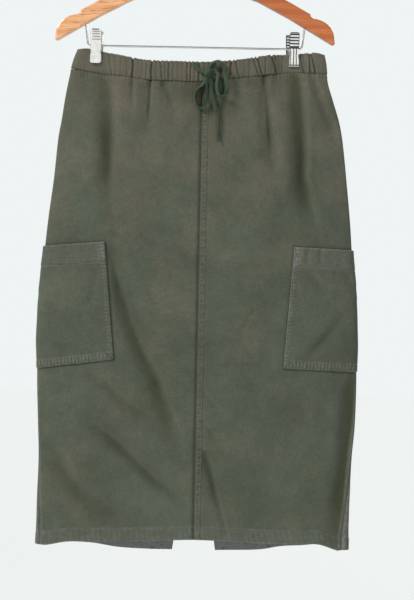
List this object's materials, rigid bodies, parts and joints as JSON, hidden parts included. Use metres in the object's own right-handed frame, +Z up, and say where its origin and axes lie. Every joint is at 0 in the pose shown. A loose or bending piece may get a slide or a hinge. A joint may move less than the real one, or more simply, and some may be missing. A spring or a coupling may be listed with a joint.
{
  "type": "cargo utility skirt on a clip hanger",
  "caption": "Long cargo utility skirt with a gathered drawstring waist, side patch pockets and a back slit, hung by its waistband from a wooden clip hanger.",
  "frame": {"origin": "top of the inside of the hanger's hook, where it rests on a rail", "axes": "+Z up, the front of the skirt towards -Y, the skirt flat in the XZ plane"},
  "size_m": [0.5156, 0.0438, 1.0084],
  "materials": {
    "olive_cotton": "washed plain-weave cotton",
    "olive_trim": "folded self-fabric tape",
    "lacquered_wood": "clear lacquer",
    "bright_metal": "bright plated"
  },
  "bodies": {
    "root": {"front_left": "olive_cotton", "front_right": "olive_cotton", "back_left": "olive_cotton", "back_right": "olive_cotton", "waistband_front": "olive_cotton", "waistband_back": "olive_cotton", "pocket_left": "olive_cotton", "pocket_right": "olive_cotton", "drawstring_lead_left": "olive_trim", "drawstring_lead_right": "olive_trim", "drawstring_loop_left": "olive_trim", "drawstring_loop_right": "olive_trim", "drawstring_tail_left": "olive_trim", "drawstring_tail_right": "olive_trim", "drawstring_knot": "olive_trim", "hanger_wood": "lacquered_wood", "hanger_hook": "bright_metal", "hanger_bar": "bright_metal", "clip_left_front_jaw": "bright_metal", "clip_left_back_jaw": "bright_metal", "clip_left_spring": "bright_metal", "clip_right_front_jaw": "bright_metal", "clip_right_back_jaw": "bright_metal", "clip_right_spring": "bright_metal"}
  },
  "joints": []
}
